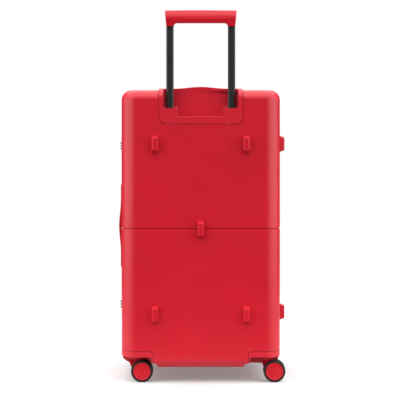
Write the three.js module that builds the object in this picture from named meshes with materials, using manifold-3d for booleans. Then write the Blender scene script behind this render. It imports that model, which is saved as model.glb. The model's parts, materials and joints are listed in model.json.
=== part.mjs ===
// Hard-shell suitcase on four twin casters, in two halves joined by a long upright hinge, with a
// telescopic trolley handle let into the back of the base half.
// Millimetres, +Z up. The origin is on the floor below the middle of the case. +Y points from the
// back (the trolley side) to the front (the lid), and +X points to the hinge side.

import * as THREE from "three";
import { mergeVertices } from "three/addons/utils/BufferGeometryUtils.js";
import Module from "manifold-3d";

const wasm = await Module();
wasm.setup();

// ---- Case ----
const WIDTH = 400;
const DEPTH = 360;
const BOTTOM = 37.2;
const TOP = 733.8;
const EDGE_R = 25; // rounding of the top and bottom edges
const CORE_R = 15; // with the edge rounding round it, the upright edges have a radius of 40
const SKIN = 3;
const GAP = 0.4; // clearance between pieces that touch
const MID_Z = (BOTTOM + TOP) / 2;
const GROOVE_WIDTH = 5.5;
const GROOVE_DEPTH = 1.8;
const PAST = 10; // how far a cutter reaches past what it cuts

// ---- Feet ----
const FOOT_WIDTH = 18;
const FOOT_LENGTH = 42;
const FOOT_TOP_WIDTH = 13;
const FOOT_TOP_LENGTH = 33;
const FOOT_HEIGHT = 14;
const FOOT_R = 7;
const FOOT_STEPS = 4; // the outer half of these steps narrows towards the face
const BACK_FOOT_X = 114.5;
const FOOT_SPREAD = 213; // how far the outer feet are above and below the groove
const SIDE_FOOT_HEIGHT = 12.5;
const SIDE_FOOT_INSET = 60; // from the back or lid face

// ---- Where the two halves are ----
const SIDE = WIDTH / 2;
const BACK = (FOOT_HEIGHT - DEPTH) / 2;
const LID = BACK + DEPTH;
const PARTING = (BACK + LID) / 2;

// ---- Rims and hinge ----
const RIM_OUT = SKIN + GAP;
const RIM_IN = RIM_OUT + 4;
const RIM_DEPTH = 14;
const SEAL_SEAT = 2;
const TONGUE_THICKNESS = 2;
const TONGUE_REACH = 6;
const HINGE_X = SIDE + 3.5;
const KNUCKLE_R = 3.3;
const KNUCKLE_LENGTH = 100;
const KNUCKLES = 5;
const HINGE_PIN_R = 1.4;
const HINGE_BORE_R = 1.95;
const LEAF_LAP = 1; // overlap of a hinge leaf and its rim
const LEAF_NEAR = 2.6; // the hinge leaf lies this far and LEAF_FAR from the parting plane
const LEAF_FAR = 4.9;

// ---- Casters ----
const SWIVEL_X = 166.6;
const SWIVEL_INSET = 32; // from the back or lid face
const TRAIL = 18.8;
const TYRE_R = 27.9;
const TYRE_SIDES = 20;
const TYRE_SHOULDER = 3.5;
const AXLE_Z = TYRE_R * Math.cos(Math.PI / TYRE_SIDES);
const HUB_R = 22;
const WHEEL_IN = 5; // the inner and outer faces of a wheel, from the middle of its caster
const WHEEL_OUT = 19;
const AXLE_R = 3;
const AXLE_CLEARANCE = 0.4;
const HUB_INSET = 0.6; // between the inner face of a hub and of its tyre
const HUB_FACE = 3; // thickness of a hub's outer face, and width of the slope at its edge
const WELL_HALF = 47; // half the width of the corner cut-out for a caster
const WELL_CEILING = 79.5;
const WELL_ROUND = 10;
const WELL_CORNER = 18;
const HOUSING_WALL = 2.6;
const HOUSING_CEILING = 65;
const RAISED_BOTTOM = 48; // underside of the case next to the casters
const RAISED_WIDTH = 8;
const RAISED_SLOPE = 5;
const STEM_R = 5;
const STEM_CLEARANCE = 0.6;
const DISC_CLEARANCE = 0.5;
const TYRE_SLOPE = 2; // how far the tyre's shoulders fall
const STEM_TOP = 77;
const DISC_R = 17;
const DISC_THICKNESS = 4;
const FORK_HALF = 4; // half the thickness of the web between a caster's two wheels
const BOSS_R = 8;

// ---- Trolley ----
const TUBE_X = 77.4;
const TUBE_Y = BACK + 19;
const TUBE_WIDTH = 18.6;
const TUBE_DEPTH = 14;
const TUBE_ROUND = 4;
const TUBE_WALL = 1.2;
const TUBE_BOTTOM = 500;
const GUIDE_BOTTOM = 52;
const GUIDE_CLEARANCE = 0.6;
const GRIP_BOTTOM = 893.9;
const GRIP_UNDERSIDE = 902.4;
const GRIP_TOP = 934.3;
const GRIP_HALF_TOP = 90.4;
const GRIP_HALF_BOTTOM = 86.7;
const GRIP_LEG_IN = 67.8;
const GRIP_DEPTH = 26;
const GRIP_ROUND = 4;
const GRIP_FILLET = 8; // between the underside and the legs
const GRIP_CORNER = 10; // of the top's ends
const GRIP_SHOULDER = 12; // how far below the top the sides start to turn
const GRIP_CROWN = 0.8; // how far the top rises from its ends to its middle
const PLUG_CLEARANCE = 0.5;
const PLUG_R = 3;
const GRIP_PLUG = 15; // how far the grip reaches down into the tubes
const BUTTON_HALF = 20;
const BUTTON_DEPTH = 8;
const BUTTON_R = 3;
const BUTTON_WELL = 12; // depth of the button's slot in the grip
const BUTTON_SLACK = 0.5;
const BUTTON_TRAVEL = 3;

// ---- Trolley well ----
const BEZEL_HALF = 106;
const BEZEL_BOTTOM = 648.8;
const BEZEL_TOP = 736.9;
const BEZEL_R = 20;
const BEZEL_DEPTH = 38;
const BEZEL_WALL = 3;
const BEZEL_PROUD = 0.8; // how far the bezel stands out of the back face
const RECESS_HALF = 94;
const RECESS_DEPTH = 34;
const LEDGE_Z = 688;
const LEDGE_R = 6;
const POCKET_HALF = 59;
const POCKET_Z = 666.5;
const POCKET_R = 3.5;

// ---- Carry handles ----
const HANDLE_Y = -22;
const HANDLE_HALF = 107;
const HANDLE_END_RISE = 7.4;
const HANDLE_END_LOW = 2.6;
const HANDLE_MID_RISE = 12;
const HANDLE_MID_LOW = 7.7;
const HANDLE_BOW_HALF = 68; // the bowed middle of the handle, between its flat ends
const HANDLE_WIDTH = 24;
const HANDLE_ROUND = 1.6;
const PLATE_WIDTH = 32;
const PLATE_MARGIN = 2; // how far the plate stands out past the ends of the handle
const PLATE_R = 8;
const PLATE_THICKNESS = 2;
const LEG_X = 96.5;
const LEG_WIDTH = 20;
const LEG_THICKNESS = 10;
const LEG_REACH = 22;
const CUP_CLEARANCE = 0.5;
const CUP_WALL = 2;
const CUP_DEPTH = 26;

// ---- Locks ----
const LOCK_SPREAD = 207; // how far each lock is above or below the groove
const LOCK_LENGTH = 70;
const LOCK_WIDTH = 26;
const LOCK_RISE = 6.5;
const LOCK_R = 4;
const LOCK_TRIM = 1.2; // rounding of the lock's edges
const LEVER_SLACK = 0.5;
const SLOT_MARGIN = 1.5; // of the lever's slot behind its barrel, and of its pin past the barrel
const DIAL_R = 4.8;
const DIAL_THICKNESS = 5;
const DIAL_PITCH = 7.4;
const DIAL_RISE = 5.4; // of the dials' shaft above the side of the case
const DIAL_SHAFT_R = 1.5;
const DIAL_CLEARANCE = 0.6;
const LEVER_FROM = 15.5; // along the lock, from its middle towards the side handle
const LEVER_TO = 32;
const LEVER_PIVOT_Y = -11;
const LEVER_PIVOT_RISE = 3.8;
const LEVER_END_Y = 20;
const LEVER_THICKNESS = 2.6;
const LEVER_BARREL_R = 2.6;
const LEVER_PIN_R = 0.9;
const KEEPER_RISE = 3.4;
const KEEPER_DEPTH = 9;

// ---- Finishes ----
const RED_SHELL = { color: "#c91f2b", roughness: 0.5, metalness: 0 };
const RED_TRIM = { color: "#d32c38", roughness: 0.42, metalness: 0 };
const RED_HUB = { color: "#c8282f", roughness: 0.45, metalness: 0 };
const BLACK_TUBE = { color: "#252525", roughness: 0.55, metalness: 0.6 };
const GREY_FRAME = { color: "#8d9095", roughness: 0.35, metalness: 0.9 };
const DARK_RUBBER = { color: "#161616", roughness: 0.8, metalness: 0 };
const STEEL = { color: "#b4b7bb", roughness: 0.3, metalness: 1 };
const DIAL_METAL = { color: "#77797d", roughness: 0.4, metalness: 0.8 };

const AXES = {
  x: [new THREE.Vector3(0, 1, 0), new THREE.Vector3(0, 0, 1), new THREE.Vector3(1, 0, 0)],
  y: [new THREE.Vector3(1, 0, 0), new THREE.Vector3(0, 0, 1), new THREE.Vector3(0, -1, 0)],
  z: [new THREE.Vector3(1, 0, 0), new THREE.Vector3(0, 1, 0), new THREE.Vector3(0, 0, 1)],
};

// ---- Making solids ----

// A closed solid, ready to be joined or cut.
function solid(geometry) {
  geometry.deleteAttribute("normal");
  geometry.deleteAttribute("uv");
  const merged = mergeVertices(geometry, 1e-4);
  const vertProperties = new Float32Array(merged.attributes.position.array);
  const triVerts = new Uint32Array(merged.index.array);
  return new wasm.Manifold(new wasm.Mesh({ numProp: 3, vertProperties, triVerts }));
}

function box(x0, x1, y0, y1, z0, z1) {
  const geometry = new THREE.BoxGeometry(x1 - x0, y1 - y0, z1 - z0);
  return solid(geometry.translate((x0 + x1) / 2, (y0 + y1) / 2, (z0 + z1) / 2));
}

// A shape pushed along an axis, from one place to the other. A rounding adds to the outline.
// Along z the shape's own axes are x and y, along y they are x and z, and along x they are y and z.
function prism(shape, axis, from, to, { round = 0, slope = round, roundSteps = 2, curve = 3 } = {}) {
  const geometry = new THREE.ExtrudeGeometry(shape, {
    depth: to - from - 2 * slope,
    bevelEnabled: round > 0,
    bevelSize: round,
    bevelThickness: slope,
    bevelSegments: roundSteps,
    curveSegments: curve,
  });
  geometry.translate(0, 0, slope);
  geometry.applyMatrix4(new THREE.Matrix4().makeBasis(...AXES[axis]));
  const start = axis === "y" ? to : from;
  const place = AXES[axis][2].clone().multiplyScalar(axis === "y" ? -start : start);
  return solid(geometry.translate(place.x, place.y, place.z));
}

function cylinder(radius, axis, from, to, [u, v], sides = 24) {
  const geometry = new THREE.CylinderGeometry(radius, radius, to - from, sides);
  geometry.translate(0, (from + to) / 2, 0);
  if (axis === "x") geometry.rotateZ(-Math.PI / 2).translate(0, u, v);
  if (axis === "y") geometry.translate(u, 0, v);
  if (axis === "z") geometry.rotateX(Math.PI / 2).translate(u, v, 0);
  return solid(geometry);
}

// Turns a profile of [radius, y] points about the y axis, with a flat facing down.
function turned(profile, sides) {
  const points = profile.map(([radius, y]) => new THREE.Vector2(radius, y));
  return solid(new THREE.LatheGeometry(points, sides, Math.PI / sides));
}

function roundedRect(width, height, radius, x = 0, y = 0) {
  const shape = new THREE.Shape();
  const right = x + width / 2 - radius;
  const left = x - width / 2 + radius;
  const top = y + height / 2 - radius;
  const bottom = y - height / 2 + radius;
  const turn = Math.PI / 2;
  shape.absarc(right, bottom, radius, -turn, 0);
  shape.absarc(right, top, radius, 0, turn);
  shape.absarc(left, top, radius, turn, 2 * turn);
  shape.absarc(left, bottom, radius, 2 * turn, 3 * turn);
  return shape;
}

function polygon(points) {
  return new THREE.Shape(points.map(([x, y]) => new THREE.Vector2(x, y)));
}

function join(bodies) {
  return bodies.reduce((whole, body) => whole.add(body));
}

function addMesh(parent, name, body, finish) {
  const { vertProperties, triVerts } = body.getMesh();
  const geometry = new THREE.BufferGeometry();
  geometry.setAttribute("position", new THREE.BufferAttribute(vertProperties, 3));
  geometry.setIndex(new THREE.BufferAttribute(triVerts, 1));
  geometry.computeVertexNormals();
  const mesh = new THREE.Mesh(geometry, new THREE.MeshStandardMaterial(finish));
  mesh.name = name;
  parent.add(mesh);
}

// ---- Case shells ----

// The outside of the closed case, moved in by an inset.
function caseForm(inset) {
  const core = roundedRect(WIDTH - 2 * EDGE_R, DEPTH - 2 * EDGE_R, CORE_R, 0, PARTING);
  return prism(core, "z", BOTTOM + inset, TOP - inset, { round: EDGE_R - inset, roundSteps: 5 });
}

function grooveRing() {
  const reach = WIDTH + DEPTH;
  const half = GROOVE_WIDTH / 2;
  return box(-reach, reach, -reach, reach, MID_Z - half, MID_Z + half).subtract(caseForm(GROOVE_DEPTH));
}

// The block that a caster's corner of the case is cut with, or its size with a wall round it.
function wellBlock(x, y, grow) {
  const half = WELL_HALF - WELL_ROUND;
  const plan = roundedRect(2 * half, 2 * half, WELL_CORNER - WELL_ROUND, x, y);
  return prism(plan, "z", -WELL_HALF, WELL_CEILING + grow, { round: WELL_ROUND + grow, curve: 2 });
}

// The band round a caster's corner where the underside of the case is higher.
function raisedBand(x, y, grow) {
  const half = WELL_HALF + RAISED_WIDTH + grow;
  const plan = roundedRect(2 * half, 2 * half, WELL_CORNER + RAISED_WIDTH + grow, x, y);
  const rise = RAISED_BOTTOM - BOTTOM;
  const options = { round: RAISED_SLOPE, slope: rise, roundSteps: 1 };
  return prism(plan, "z", -WELL_HALF, RAISED_BOTTOM + grow, options);
}

function hollowCase(casterY) {
  let outside = caseForm(0).subtract(grooveRing());
  let inside = caseForm(SKIN);
  for (const x of [-SWIVEL_X, SWIVEL_X]) {
    outside = outside.subtract(wellBlock(x, casterY, 0)).subtract(raisedBand(x, casterY, 0));
    inside = inside.subtract(wellBlock(x, casterY, SKIN)).subtract(raisedBand(x, casterY, SKIN));
  }
  return outside.subtract(inside);
}

function hingeNotch() {
  const half = (KNUCKLES * KNUCKLE_LENGTH) / 2 + GAP;
  const reach = LEAF_FAR + GAP;
  return box(SIDE - 2 * PAST, HINGE_X + PAST, PARTING - reach, PARTING + reach, MID_Z - half, MID_Z + half);
}

function baseShell() {
  const cut = PARTING - GAP;
  const well = bezelOutline(BEZEL_HALF, BEZEL_BOTTOM, BEZEL_R);
  let shell = hollowCase(BACK + SWIVEL_INSET);
  shell = shell.subtract(box(-WIDTH, WIDTH, cut, LID + DEPTH, 0, TOP + PAST));
  shell = shell.subtract(prism(well, "y", BACK - PAST, BACK + BEZEL_DEPTH + GAP));
  shell = shell.subtract(hingeNotch());
  for (const side of [-1, 1]) {
    const half = LEG_WIDTH / 2 + CUP_CLEARANCE + CUP_WALL + GAP;
    const across = LEG_THICKNESS / 2 + CUP_CLEARANCE + CUP_WALL + GAP;
    const centre = side * LEG_X;
    const y0 = HANDLE_Y - across;
    const y1 = HANDLE_Y + across;
    const z0 = MID_Z + centre - half;
    const z1 = MID_Z + centre + half;
    shell = shell.subtract(box(centre - half, centre + half, y0, y1, TOP - PAST, TOP + PAST));
    shell = shell.subtract(box(-SIDE - PAST, -SIDE + PAST, y0, y1, z0, z1));
  }
  return shell;
}

// The moulded block on the lid that a latch lever closes over.
function keeper(side) {
  const near = MID_Z + side * (LOCK_SPREAD - LEVER_FROM);
  const far = MID_Z + side * (LOCK_SPREAD - LEVER_TO);
  const front = PARTING + GAP;
  const [low, high] = [Math.min(near, far), Math.max(near, far)];
  return box(-SIDE - KEEPER_RISE, -SIDE + SKIN / 2, front, front + KEEPER_DEPTH, low, high);
}

function lidShell() {
  const cut = PARTING + GAP;
  let shell = hollowCase(LID - SWIVEL_INSET);
  shell = shell.subtract(box(-WIDTH, WIDTH, BACK - DEPTH, cut, 0, TOP + PAST));
  shell = shell.subtract(hingeNotch());
  return shell.add(keeper(-1)).add(keeper(1));
}

function foot(height) {
  const plan = roundedRect(FOOT_WIDTH, FOOT_LENGTH, FOOT_R);
  const geometry = new THREE.ExtrudeGeometry(plan, {
    depth: height - GAP,
    steps: FOOT_STEPS,
    bevelEnabled: false,
    curveSegments: 2,
  });
  geometry.translate(0, 0, GAP);
  const position = geometry.attributes.position;
  for (let i = 0; i < position.count; i += 1) {
    const up = (position.getZ(i) - GAP) / (height - GAP);
    const drawn = Math.max(0, (up - 0.5) * 2);
    const taper = drawn * drawn;
    position.setX(i, position.getX(i) * (1 - taper * (1 - FOOT_TOP_WIDTH / FOOT_WIDTH)));
    position.setY(i, position.getY(i) * (1 - taper * (1 - FOOT_TOP_LENGTH / FOOT_LENGTH)));
  }
  return solid(geometry);
}

// A foot stands up along z with its length along y, and is turned to face out of the case.
function addBackFoot(parent, name, x, z) {
  const holder = new THREE.Group();
  holder.position.set(x, BACK, z);
  holder.rotation.x = Math.PI / 2;
  addMesh(holder, name, foot(FOOT_HEIGHT), RED_SHELL);
  parent.add(holder);
}

function addSideFoot(parent, name, y, z) {
  const holder = new THREE.Group();
  holder.position.set(SIDE, y, z);
  holder.rotation.set(Math.PI / 2, 0, Math.PI / 2, "ZXY");
  addMesh(holder, name, foot(SIDE_FOOT_HEIGHT), RED_SHELL);
  parent.add(holder);
}

// ---- Rims, seal and hinge ----

// The edge of the case at the parting plane, moved in by an inset.
function caseOutline(inset) {
  return roundedRect(WIDTH - 2 * inset, TOP - BOTTOM - 2 * inset, EDGE_R - inset, 0, MID_Z);
}

function ring(outer, inner, from, to) {
  const hole = prism(caseOutline(inner), "y", from - PAST, to + PAST, { curve: 2 });
  return prism(caseOutline(outer), "y", from, to, { curve: 2 }).subtract(hole);
}

function knuckle(index, leafFrom, leafTo) {
  const low = MID_Z + (index - KNUCKLES / 2) * KNUCKLE_LENGTH + GAP;
  const high = low + KNUCKLE_LENGTH - 2 * GAP;
  const leaf = box(SIDE - RIM_IN + LEAF_LAP, HINGE_X, leafFrom, leafTo, low, high);
  const barrel = cylinder(KNUCKLE_R, "z", low, high, [HINGE_X, PARTING], 16);
  const bore = cylinder(HINGE_BORE_R, "z", low - PAST, high + PAST, [HINGE_X, PARTING], 12);
  return leaf.add(barrel).subtract(bore);
}

function baseRim() {
  let rim = ring(RIM_OUT, RIM_IN, PARTING - RIM_DEPTH, PARTING - SEAL_SEAT);
  for (let i = 0; i < KNUCKLES; i += 2) rim = rim.add(knuckle(i, PARTING - LEAF_FAR, PARTING - LEAF_NEAR));
  return rim;
}

function lidRim() {
  const tongueOut = RIM_IN + GAP;
  const tongueIn = tongueOut + TONGUE_THICKNESS;
  const tongue = ring(tongueOut, tongueIn, PARTING - TONGUE_REACH, PARTING + RIM_DEPTH);
  const web = ring(RIM_OUT, tongueIn, PARTING + LEAF_NEAR, PARTING + LEAF_FAR);
  let rim = ring(RIM_OUT, RIM_IN, PARTING + GAP, PARTING + RIM_DEPTH).add(tongue).add(web);
  for (let i = 1; i < KNUCKLES; i += 2) rim = rim.add(knuckle(i, PARTING + LEAF_NEAR, PARTING + LEAF_FAR));
  return rim;
}

function rimSeal() {
  return ring(RIM_OUT + GAP, RIM_IN - GAP, PARTING - SEAL_SEAT + GAP, PARTING);
}

function hingePin() {
  const half = (KNUCKLES * KNUCKLE_LENGTH) / 2;
  return cylinder(HINGE_PIN_R, "z", MID_Z - half, MID_Z + half, [HINGE_X, PARTING], 12);
}

// ---- Trolley ----

function bezelOutline(half, bottom, radius) {
  const height = BEZEL_TOP - bottom;
  return roundedRect(2 * half, 2 * height, radius, 0, bottom + height);
}

// The recess that the grip drops into, with the finger pocket below it.
function gripRecess(grow) {
  const reach = BACK + RECESS_DEPTH + grow;
  const ledge = bezelOutline(RECESS_HALF + grow, LEDGE_Z - grow, LEDGE_R + grow);
  const pocket = bezelOutline(POCKET_HALF + grow, POCKET_Z - grow, POCKET_R + grow);
  return prism(ledge, "y", BACK - PAST, reach).add(prism(pocket, "y", BACK - PAST, reach));
}

function trolleyWell() {
  const half = BEZEL_HALF - GAP;
  const low = BEZEL_BOTTOM + GAP;
  const face = BACK - BEZEL_PROUD;
  const inner = BACK + BEZEL_DEPTH;
  const side = new THREE.Shape();
  side.moveTo(inner, low - PAST);
  side.lineTo(inner, BEZEL_TOP);
  side.absarc(face + EDGE_R, BEZEL_TOP - EDGE_R, EDGE_R, Math.PI / 2, Math.PI);
  side.lineTo(face, low - PAST);
  const front = bezelOutline(half, low, BEZEL_R - GAP);
  const block = prism(front, "y", face - PAST, inner + PAST).intersect(prism(side, "x", -half, half));
  const walls = half - BEZEL_WALL;
  const cave = box(-walls, walls, BACK + BEZEL_WALL, inner + PAST, low + BEZEL_WALL, BEZEL_TOP - BEZEL_WALL);
  let well = block.subtract(gripRecess(0)).subtract(cave.subtract(gripRecess(BEZEL_WALL)));
  for (const x of [-TUBE_X, TUBE_X]) {
    const slack = GUIDE_CLEARANCE;
    const through = roundedRect(TUBE_WIDTH + 2 * slack, TUBE_DEPTH + 2 * slack, TUBE_ROUND + slack, x, TUBE_Y);
    const grow = GUIDE_CLEARANCE + TUBE_WALL + GAP;
    const guide = roundedRect(TUBE_WIDTH + 2 * grow, TUBE_DEPTH + 2 * grow, TUBE_ROUND + grow, x, TUBE_Y);
    well = well.subtract(prism(through, "z", LEDGE_Z - PAST, LEDGE_Z + PAST, { curve: 2 }));
    well = well.subtract(prism(guide, "z", low - PAST, low + PAST, { curve: 2 }));
  }
  return well;
}

// A tube of the trolley's section, larger all round by the amount given.
function sectionTube(x, grow, from, to) {
  const outer = roundedRect(TUBE_WIDTH + 2 * grow, TUBE_DEPTH + 2 * grow, TUBE_ROUND + grow, x, TUBE_Y);
  const bore = grow - TUBE_WALL;
  const inner = roundedRect(TUBE_WIDTH + 2 * bore, TUBE_DEPTH + 2 * bore, TUBE_ROUND + bore, x, TUBE_Y);
  const cut = prism(inner, "z", from - PAST, to + PAST, { curve: 2 });
  return prism(outer, "z", from, to, { curve: 2 }).subtract(cut);
}

// The grip's outline is drawn inside its rounding, which then adds to it all round.
function gripOutline() {
  const r = GRIP_ROUND;
  const bottom = GRIP_BOTTOM + r;
  const under = GRIP_UNDERSIDE + r;
  const fillet = GRIP_FILLET + r;
  const legIn = GRIP_LEG_IN + r;
  const side = GRIP_HALF_TOP - r;
  const corner = GRIP_HALF_TOP - GRIP_CORNER;
  const endTop = GRIP_TOP - r - GRIP_CROWN;
  const shape = new THREE.Shape();
  shape.moveTo(legIn, bottom);
  shape.lineTo(GRIP_HALF_BOTTOM - r, bottom);
  shape.lineTo(side, GRIP_TOP - GRIP_SHOULDER);
  shape.quadraticCurveTo(side, endTop, corner, endTop);
  shape.quadraticCurveTo(0, endTop + 2 * GRIP_CROWN, -corner, endTop);
  shape.quadraticCurveTo(-side, endTop, -side, GRIP_TOP - GRIP_SHOULDER);
  shape.lineTo(-GRIP_HALF_BOTTOM + r, bottom);
  shape.lineTo(-legIn, bottom);
  shape.quadraticCurveTo(-legIn, under, -legIn + fillet, under);
  shape.lineTo(legIn - fillet, under);
  shape.quadraticCurveTo(legIn, under, legIn, bottom);
  return shape;
}

function trolleyGrip() {
  const half = GRIP_DEPTH / 2;
  let grip = prism(gripOutline(), "y", TUBE_Y - half, TUBE_Y + half, { round: GRIP_ROUND, curve: 3 });
  for (const x of [-TUBE_X, TUBE_X]) {
    const inside = 2 * (TUBE_WALL + PLUG_CLEARANCE);
    const plug = roundedRect(TUBE_WIDTH - inside, TUBE_DEPTH - inside, PLUG_R, x, TUBE_Y);
    grip = grip.add(prism(plug, "z", GRIP_BOTTOM - GRIP_PLUG, GRIP_BOTTOM + GRIP_ROUND, { curve: 2 }));
  }
  const wide = BUTTON_HALF + BUTTON_SLACK;
  const deep = BUTTON_DEPTH / 2 + BUTTON_SLACK;
  const slot = box(-wide, wide, TUBE_Y - deep, TUBE_Y + deep, GRIP_TOP - BUTTON_WELL, GRIP_TOP + GRIP_ROUND);
  return grip.subtract(slot);
}

function gripButton() {
  const low = GRIP_TOP - BUTTON_WELL + BUTTON_TRAVEL + GAP;
  const plan = roundedRect(2 * BUTTON_HALF, BUTTON_DEPTH, BUTTON_R, 0, TUBE_Y);
  return prism(plan, "z", low, GRIP_TOP - GAP, { curve: 2 });
}

// ---- Casters ----

function wheelHousing(x, y) {
  let housing = caseForm(0).intersect(wellBlock(x, y, -GAP));
  const half = WELL_HALF - GAP - HOUSING_WALL;
  const inside = roundedRect(2 * half, 2 * half, WELL_CORNER - HOUSING_WALL, x, y);
  const reach = WELL_HALF + PAST;
  housing = housing.subtract(prism(inside, "z", 0, HOUSING_CEILING));
  housing = housing.subtract(box(x - reach, x + reach, y - reach, y + reach, 0, RAISED_BOTTOM + GAP));
  return housing.subtract(cylinder(STEM_R + STEM_CLEARANCE, "z", 0, WELL_CEILING + PAST, [x, y], 16));
}

// Swivel disc, stem, web between the wheels, boss and axle of one caster, trailing to +x.
function fork() {
  const discTop = HOUSING_CEILING - DISC_CLEARANCE;
  const discBottom = discTop - DISC_THICKNESS;
  const disc = cylinder(DISC_R, "z", discBottom, discTop, [0, 0], 20);
  const stem = cylinder(STEM_R, "z", discTop - 1, STEM_TOP, [0, 0], 12);
  const web = new THREE.Shape();
  web.moveTo(-DISC_R + 3, discBottom + 1);
  web.quadraticCurveTo(-DISC_R + 3, TYRE_R + BOSS_R + 8, -BOSS_R, TYRE_R + BOSS_R);
  web.lineTo(TRAIL - BOSS_R, AXLE_Z);
  web.lineTo(TRAIL + BOSS_R, AXLE_Z);
  web.quadraticCurveTo(TRAIL + BOSS_R, discBottom - 4, DISC_R - 3, discBottom + 1);
  const boss = cylinder(BOSS_R, "y", -FORK_HALF, FORK_HALF, [TRAIL, AXLE_Z], 16);
  const axleHalf = WHEEL_OUT - HUB_FACE - GAP;
  const axle = cylinder(AXLE_R, "y", -axleHalf, axleHalf, [TRAIL, AXLE_Z], 10);
  return join([disc, stem, prism(web, "y", -FORK_HALF, FORK_HALF, { curve: 6 }), boss, axle]);
}

function tyre() {
  const inner = HUB_R + GAP;
  const shoulder = TYRE_R - TYRE_SLOPE;
  return turned([
    [inner, WHEEL_IN],
    [shoulder, WHEEL_IN],
    [TYRE_R, WHEEL_IN + TYRE_SHOULDER],
    [TYRE_R, WHEEL_OUT - TYRE_SHOULDER],
    [shoulder, WHEEL_OUT],
    [inner, WHEEL_OUT],
    [inner, WHEEL_IN],
  ], TYRE_SIDES);
}

function hub() {
  const bore = AXLE_R + AXLE_CLEARANCE;
  return turned([
    [0, WHEEL_OUT - HUB_FACE],
    [bore, WHEEL_OUT - HUB_FACE],
    [bore, WHEEL_IN + HUB_INSET],
    [HUB_R, WHEEL_IN + HUB_INSET],
    [HUB_R, WHEEL_OUT - 2 * HUB_INSET],
    [HUB_R - HUB_FACE, WHEEL_OUT],
    [0, WHEEL_OUT],
  ], TYRE_SIDES);
}

function addCaster(parent, label, x, y) {
  const caster = new THREE.Group();
  caster.position.set(x, y, 0);
  addMesh(caster, `fork_${label}`, fork(), RED_TRIM);
  for (const [end, turn] of [["a", Math.PI], ["b", 0]]) {
    const wheel = new THREE.Group();
    wheel.position.set(TRAIL, 0, AXLE_Z);
    wheel.rotation.z = turn;
    addMesh(wheel, `tyre_${label}_${end}`, tyre(), DARK_RUBBER);
    addMesh(wheel, `hub_${label}_${end}`, hub(), RED_HUB);
    caster.add(wheel);
  }
  parent.add(caster);
}

// ---- Carry handles: x along the handle, z out of the case, z = 0 on the case's surface ----

function handleMount() {
  const plate = roundedRect(2 * (HANDLE_HALF + PLATE_MARGIN), PLATE_WIDTH, PLATE_R);
  let mount = prism(plate, "z", GAP, PLATE_THICKNESS, { curve: 2 });
  for (const side of [-1, 1]) {
    const half = LEG_WIDTH / 2 + CUP_CLEARANCE;
    const across = LEG_THICKNESS / 2 + CUP_CLEARANCE;
    const x = side * LEG_X;
    const w = CUP_WALL;
    mount = mount.add(box(x - half - w, x + half + w, -across - w, across + w, -CUP_DEPTH, 1));
    mount = mount.subtract(box(x - half, x + half, -across, across, -CUP_DEPTH + w, PAST));
  }
  return mount;
}

// The handle's side view is drawn inside its rounding: two flat ends and a bowed middle.
function carryHandle() {
  const end = HANDLE_HALF - HANDLE_ROUND;
  const bow = HANDLE_BOW_HALF;
  const endTop = HANDLE_END_RISE - HANDLE_ROUND;
  const endLow = HANDLE_END_LOW + HANDLE_ROUND;
  const midTop = HANDLE_MID_RISE - HANDLE_ROUND;
  const midLow = HANDLE_MID_LOW + HANDLE_ROUND;
  const side = new THREE.Shape();
  side.moveTo(-end, endLow);
  side.lineTo(-bow, endLow);
  side.bezierCurveTo(-bow / 2, endLow, -bow / 2, midLow, 0, midLow);
  side.bezierCurveTo(bow / 2, midLow, bow / 2, endLow, bow, endLow);
  side.lineTo(end, endLow);
  side.lineTo(end, endTop);
  side.lineTo(bow, endTop);
  side.bezierCurveTo(bow / 2, endTop, bow / 2, midTop, 0, midTop);
  side.bezierCurveTo(-bow / 2, midTop, -bow / 2, endTop, -bow, endTop);
  side.lineTo(-end, endTop);
  const half = HANDLE_WIDTH / 2;
  let handle = prism(side, "y", -half, half, { round: HANDLE_ROUND, roundSteps: 1, curve: 6 });
  for (const sign of [-1, 1]) {
    const x = sign * LEG_X;
    const across = LEG_THICKNESS / 2;
    const leg = box(x - LEG_WIDTH / 2, x + LEG_WIDTH / 2, -across, across, -LEG_REACH, endTop);
    handle = handle.add(leg);
  }
  return handle;
}

function addCarryHandle(parent, label, position, turn) {
  const holder = new THREE.Group();
  holder.position.copy(position);
  holder.rotation.y = turn;
  addMesh(holder, `${label}_handle_mount`, handleMount(), RED_TRIM);
  addMesh(holder, `${label}_handle`, carryHandle(), RED_SHELL);
  parent.add(holder);
}

// ---- Locks: x along the lock, z out of the case, the lever on the +x or -x side ----

function leverBox(side, grow, y0, y1, z0, z1) {
  const ends = [side * (LEVER_FROM - grow), side * (LEVER_TO + grow)];
  return box(Math.min(...ends), Math.max(...ends), y0, y1, z0, z1);
}

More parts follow.
